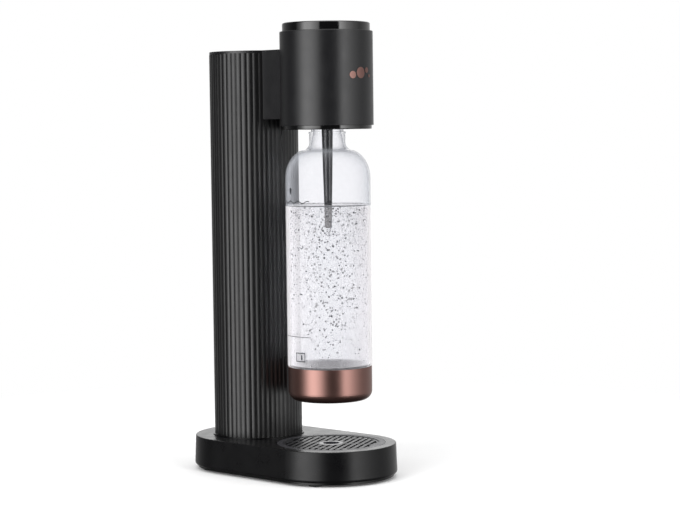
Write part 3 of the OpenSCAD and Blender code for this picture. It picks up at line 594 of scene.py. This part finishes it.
class CARBONATOR_OT_springs(bpy.types.Operator):
    """Winds the button's and the relief valve's springs"""

    bl_idname = f"{GROUP}.springs"
    bl_label = "Springs"

    def execute(self, context):
        steel = metal("spring_wire", linear("b6b8bb"), 0.3, (1, 1, 1))
        self.wind("button_coil", "button_spring", BUTTON_WIRE, steel, "button_press",
                  BUTTON_STROKE, held_at_top=False)
        self.wind("relief_coil", "relief_spring", RELIEF_WIRE, steel, "relief_lift",
                  RELIEF_STROKE, held_at_top=True)
        return {"FINISHED"}

    def wind(self, name, node, wire_r, finish, joint, stroke, held_at_top):
        """A coil of round wire in a node's box. Its joint and its stroke are not used."""
        low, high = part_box(node)
        axis = (low + high) / 2
        bm = bmesh.new()
        start = Matrix.Translation((high.x - wire_r, axis.y, low.z + wire_r))
        bmesh.ops.create_circle(bm, segments=8, radius=wire_r,
                                matrix=start @ Matrix.Rotation(math.pi / 2, 4, "X"))
        steps = SPRING_TURNS * SPRING_STEPS
        rise = (high.z - low.z - 2 * wire_r) / steps
        bmesh.ops.spin(bm, geom=bm.verts[:] + bm.edges[:], cent=(axis.x, axis.y, 0),
                       axis=(0, 0, 1), dvec=(0, 0, rise), angle=SPRING_TURNS * math.tau,
                       steps=steps)
        bmesh.ops.holes_fill(bm, edges=[e for e in bm.edges if e.is_boundary])
        bmesh.ops.recalc_face_normals(bm, faces=bm.faces[:])
        piece = finished(bm, name, "frame", finish)
        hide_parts(node)
        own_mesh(piece)


class CARBONATOR_OT_cylinder(bpy.types.Operator):
    """Gives the gas cylinder its bare shoulder and its printed film"""

    bl_idname = f"{GROUP}.cylinder"
    bl_label = "Gas cylinder"

    def execute(self, context):
        own = context.scene.carbonator_finish
        dress(metal("blasted_aluminium", linear("c9cacc"), 0.42, (1, 1, 1), size=0.0007,
                    depth=0.00003), "co2_cylinder")
        dress(wavy_film("wavy_film", shade(own.film, 1), shade(own.film_line, 1)),
              "cylinder_sleeve")
        return {"FINISHED"}


class CARBONATOR_OT_cup(bpy.types.Operator):
    """Gives the bottle's cup and the inlay on the head their copper"""

    bl_idname = f"{GROUP}.cup"
    bl_label = "Copper cup and inlay"

    def execute(self, context):
        own = context.scene.carbonator_finish
        dress(metal("rose_copper", own.copper, 0.35, (0.03, 0.03, 1), size=0.0005, spread=0.02,
                    depth=0.000002, variety=0.05),
              "bottle_cup", "head_badge")
        return {"FINISHED"}


def bottle_line(inset):
    """The clear wall's outline from its foot up to its neck, drawn inwards by inset."""
    heel = HEEL_ROUND - inset
    step = CUP_TOP + inset / 2
    fillet = FILLET_R + inset
    return (
        [(0.0, FOOT_Z + inset)]
        + arc(HEEL_R - HEEL_ROUND, FOOT_Z + HEEL_ROUND, heel, heel, -90, -10, 12)
        + [(HEEL_R - inset, step + 0.1 * MM)]
        + arc(BOTTLE_R - STEP_ROUND - inset, step + STEP_ROUND + 0.2 * MM, STEP_ROUND,
              STEP_ROUND, -80, 0, 6)
        + arc(CROWN_R, SHOULDER_Z, BOTTLE_R - CROWN_R - inset, SHOULDER_H - inset, 0, 72, 24)
        + arc(NECK_R + FILLET_R, FILLET_Z, fillet, fillet, 256, 180, 12)
    )


class CARBONATOR_OT_bottle(bpy.types.Operator):
    """Spins the clear bottle with its wall, neck bead and screw thread"""

    bl_idname = f"{GROUP}.bottle"
    bl_label = "Clear bottle"

    def execute(self, context):
        thread = [
            point
            for z in THREAD_Z
            for point in arc(FINISH_R, z + THREAD_HALF, THREAD_OUT, THREAD_HALF, -90, 90, 6)
        ]
        outside = (
            bottle_line(0)
            + [(NECK_R, BEAD_Z - 0.6 * MM)]
            + arc(NECK_R, BEAD_Z + 1 * MM, BEAD_OUT, 1 * MM, -90, 90, 8)
            + [(FINISH_R + 0.3 * MM, BEAD_Z + 2 * MM), (FINISH_R, BEAD_Z + 2.6 * MM)]
            + thread
            + arc(FINISH_R - LIP_ROUND, NECK_TOP - LIP_ROUND, LIP_ROUND, LIP_ROUND, 0, 90, 4)
        )
        inside = bottle_line(WALL) + [(MOUTH_R + 0.6 * MM, BEAD_Z - 1.5 * MM),
                                      (MOUTH_R, BEAD_Z), (MOUTH_R, NECK_TOP)]
        bm = lathe(outside + inside[::-1])
        wall = clear_wall("clear_plastic", context.scene.carbonator_water.level)
        piece = finished(bm, "clear_bottle", "bottle", wall)
        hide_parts("bottle_vessel")
        return {"FINISHED"}


class CARBONATOR_OT_water(bpy.types.Operator):
    """Fills the bottle with water and lets gas bubbles rise in it"""

    bl_idname = f"{GROUP}.water"
    bl_label = "Water and bubbles"

    def execute(self, context):
        own = context.scene.carbonator_water
        inset = WALL + WATER_GAP
        side = [p for p in bottle_line(inset) if p[1] < own.level - 1.5 * MM]
        edge_r = BOTTLE_R - inset
        surface = [(edge_r, own.level + 1.2 * MM), (edge_r - 0.4 * MM, own.level + 0.5 * MM),
                   (edge_r - 1.2 * MM, own.level + 0.1 * MM), (edge_r - 2.5 * MM, own.level),
                   (0.0, own.level)]
        finished(lathe(side + surface), "water", "bottle",
                 water_body("water", linear("fcfafb"), CUP_TOP, 0.2, 0.97))
        self.waterline(own, edge_r)
        self.bubbles(own)
        return {"FINISHED"}

    def waterline(self, own, edge_r):
        """The dark line where the water's surface climbs the wall: a ring of painted shade."""
        low = own.level - 0.1 * MM
        in_r = edge_r - 0.9 * MM
        rim = [(edge_r, low), (edge_r + 0.02 * MM, low + 0.7 * MM), (in_r, low + 0.3 * MM),
               (in_r, low), (edge_r, low)]
        finished(lathe(rim), "water_edge", "bottle",
                 gas("water_edge", linear("3c3f42"), linear("6a6d70")))

    def bubbles(self, own):
        """Three in four bubbles cling to the wall, and the others rise in the middle."""
        draw = random.Random(own.seed)
        low, high = FOOT_Z + 30 * MM, own.level - 0.8 * MM
        wall_r = BOTTLE_R - WALL - WATER_GAP / 2
        ball = bmesh.new()
        bmesh.ops.create_uvsphere(ball, u_segments=6, v_segments=4, radius=1.0)
        one = bpy.data.meshes.new("one_bubble")
        ball.to_mesh(one)
        ball.free()
        bm = bmesh.new()
        for i in range(own.bubbles):
            clings = i % 4 > 0
            rise = draw.random() ** (0.5 if clings else 0.9)
            share = draw.random() ** (5 if clings else 3)
            size = own.smallest + (own.largest - own.smallest) * share
            reach = wall_r - 0.6 * size if clings else 0.62 * wall_r * math.sqrt(draw.random())
            turn = draw.uniform(0, math.tau)
            place = Vector((reach * math.cos(turn), HEAD_Y + reach * math.sin(turn),
                            low + (high - low) * rise))
            first = len(bm.verts)
            bm.from_mesh(one)
            bm.verts.ensure_lookup_table()
            for v in bm.verts[first:]:
                v.co = v.co * size + place
        bpy.data.meshes.remove(one)
        finished(bm, "bubbles", "bottle",
                 gas("gas_bubble", linear("2b2e31"), linear("85898d")))


class CARBONATOR_OT_marks(bpy.types.Operator):
    """Prints a plain wavy fill line, a drop, a level line and a framed sign on the bottle"""

    bl_idname = f"{GROUP}.marks"
    bl_label = "Marks on the bottle"

    def execute(self, context):
        bm = bmesh.new()
        self.line(bm, -60 * MM, -18 * MM, 263.2 * MM, 0.9 * MM, wave=1.0 * MM, length=11.3 * MM)
        self.line(bm, -56 * MM, -18 * MM, 137 * MM, 0.5 * MM)
        drop = [(2.5 * math.sin(a) * math.sin(a / 2) ** 1.5, -3.6 * math.cos(a))
                for a in (math.tau * i / 28 for i in range(28))]
        self.outline(bm, drop, (-42.5 * MM, 273 * MM))
        self.outline(bm, [(-5.8, -4.3), (-2, -4.3), (2, -4.3), (5.8, -4.3), (5.8, 4.3),
                          (2, 4.3), (-2, 4.3), (-5.8, 4.3)], (-30.3 * MM, 118 * MM), 0.85 * MM)
        self.outline(bm, [(0.9, -2.6), (2.6, -2.6), (2.6, 1.4), (1.75, 3.0), (0.9, 1.4)],
                     (-30.5 * MM, 118 * MM))
        self.wrap(bm)
        finished(bm, "bottle_marks", "bottle",
                 moulded("mark_ink", linear("2c2e32"), 0.5))
        return {"FINISHED"}

    def line(self, bm, start, end, height, width, wave=0.0, length=1.0):
        """A level or wavy line on the unrolled wall."""
        made = bmesh.ops.create_grid(bm, x_segments=96, y_segments=1, size=0.5)["verts"]
        for v in made:
            across = start + (end - start) * (v.co.x + 0.5)
            sway = wave * math.sin(math.tau * across / length)
            v.co = (across, height + v.co.y * width + sway, 0)

    def outline(self, bm, points, at, width=None):
        """A small closed shape on the unrolled wall, solid or drawn as an outline."""
        verts = [bm.verts.new((at[0] + x * MM, at[1] + z * MM, 0)) for x, z in points]
        face = bm.faces.new(verts)
        if width:
            face.normal_update()
            bmesh.ops.inset_region(bm, faces=[face], thickness=width,
                                   use_boundary=True, use_even_offset=True)
            bmesh.ops.delete(bm, geom=[face], context="FACES")

    def wrap(self, bm):
        """Rolls the flat marks round the bottle, from the side that faces the viewer."""
        front = math.atan2(-CAMERA_FORWARD.y, -CAMERA_FORWARD.x)
        for v in bm.verts:
            turn = front + v.co.x / BOTTLE_R
            v.co = (PRINT_R * math.cos(turn), HEAD_Y + PRINT_R * math.sin(turn), v.co.y)


class CARBONATOR_OT_studio(bpy.types.Operator):
    """Sets up the camera, the pale table and the soft lights"""

    bl_idname = f"{GROUP}.studio"
    bl_label = "Studio"

    def execute(self, context):
        own = context.scene.carbonator_studio
        scene = context.scene
        self.camera(scene)
        bm = bmesh.new()
        bmesh.ops.create_grid(bm, x_segments=1, y_segments=1, size=TABLE_HALF)
        mesh = bpy.data.meshes.new("table_top")
        bm.to_mesh(mesh)
        bm.free()
        floor = bpy.data.objects.new("table_top", mesh)
        mesh.materials.append(table("pale_table"))
        scene.collection.objects.link(floor)
        floor.visible_glossy = False
        self.room(scene, own)
        scene.view_settings.view_transform = "Standard"
        return {"FINISHED"}

    def camera(self, scene):
        data = bpy.data.cameras.new("camera")
        data.lens, data.sensor_width = LENS_MM, SENSOR_MM
        data.clip_start, data.clip_end = 0.05, 50.0
        camera = bpy.data.objects.new("camera", data)
        turn = Matrix((CAMERA_RIGHT, CAMERA_UP, -CAMERA_FORWARD)).transposed().to_4x4()
        camera.matrix_world = Matrix.Translation(CAMERA_AT) @ turn
        scene.collection.objects.link(camera)
        scene.camera = camera

    def room(self, scene, own):
        """A white room for the eye; for the object, tall soft lights round it and one overhead."""
        f = Finish("room", world=True)
        facing = math.atan2(-CAMERA_FORWARD.y, -CAMERA_FORWARD.x)
        way = f.node("ShaderNodeMapping", sockets={
            "Vector": f.node("ShaderNodeTexCoord"), "Rotation": (0, 0, -facing)})
        x, y, z = (f.node("ShaderNodeSeparateXYZ", sockets={0: way}, output=i) for i in range(3))
        bearing = f.node("ShaderNodeMath", {"operation": "ARCTAN2"}, {0: y, 1: x})
        ring = f.node(
            "ShaderNodeValToRGB",
            {"stops": [(at / 360 + 0.5, grey(glow)) for at, glow in LIGHT_ROUND]},
            {0: bearing * (1 / math.tau) + 0.5},
        )
        sky = f.blend(f.span(z, 0.78, 0.9), ring, grey(own.top / own.sides))
        lit = f.blend(f.span(z, -0.5, -0.3), grey(0.02), sky)
        studio = f.node("ShaderNodeBackground", sockets={"Color": lit, "Strength": own.sides})
        white = f.node("ShaderNodeBackground", sockets={"Color": grey(1), "Strength": 1.0})
        seen = f.node("ShaderNodeLightPath")
        scene.world = f.done(f.node("ShaderNodeMixShader", sockets={0: seen, 1: studio, 2: white}))


class CARBONATOR_PT_sidebar(bpy.types.Panel):
    """Lists the steps and their settings."""

    bl_label = "Soda carbonator"
    bl_idname = "CARBONATOR_PT_sidebar"
    bl_space_type = "VIEW_3D"
    bl_region_type = "UI"
    bl_category = "Carbonator"

    def draw(self, context):
        for name in GROUPS:
            group = getattr(context.scene, f"{GROUP}_{name}")
            box = self.layout.box()
            for setting in group.__annotations__:
                box.prop(group, setting)
        for step in STEPS:
            self.layout.operator(step.bl_idname)


GROUPS = {"finish": FinishSettings, "water": WaterSettings, "studio": StudioSettings}
STEPS = (
    CARBONATOR_OT_studio, CARBONATOR_OT_housings, CARBONATOR_OT_works, CARBONATOR_OT_springs,
    CARBONATOR_OT_cylinder, CARBONATOR_OT_cup, CARBONATOR_OT_bottle, CARBONATOR_OT_water,
    CARBONATOR_OT_marks,
)
CLASSES = (*GROUPS.values(), *STEPS, CARBONATOR_PT_sidebar)


def register():
    for item in CLASSES:
        bpy.utils.register_class(item)
    for name, kind in GROUPS.items():
        setattr(bpy.types.Scene, f"{GROUP}_{name}", bpy.props.PointerProperty(type=kind))


def unregister():
    for name in GROUPS:
        delattr(bpy.types.Scene, f"{GROUP}_{name}")
    for item in reversed(CLASSES):
        bpy.utils.unregister_class(item)


def main():
    register()
    for step in STEPS:
        getattr(getattr(bpy.ops, GROUP), step.bl_idname.split(".")[1])()


if __name__ == "__main__":
    main()
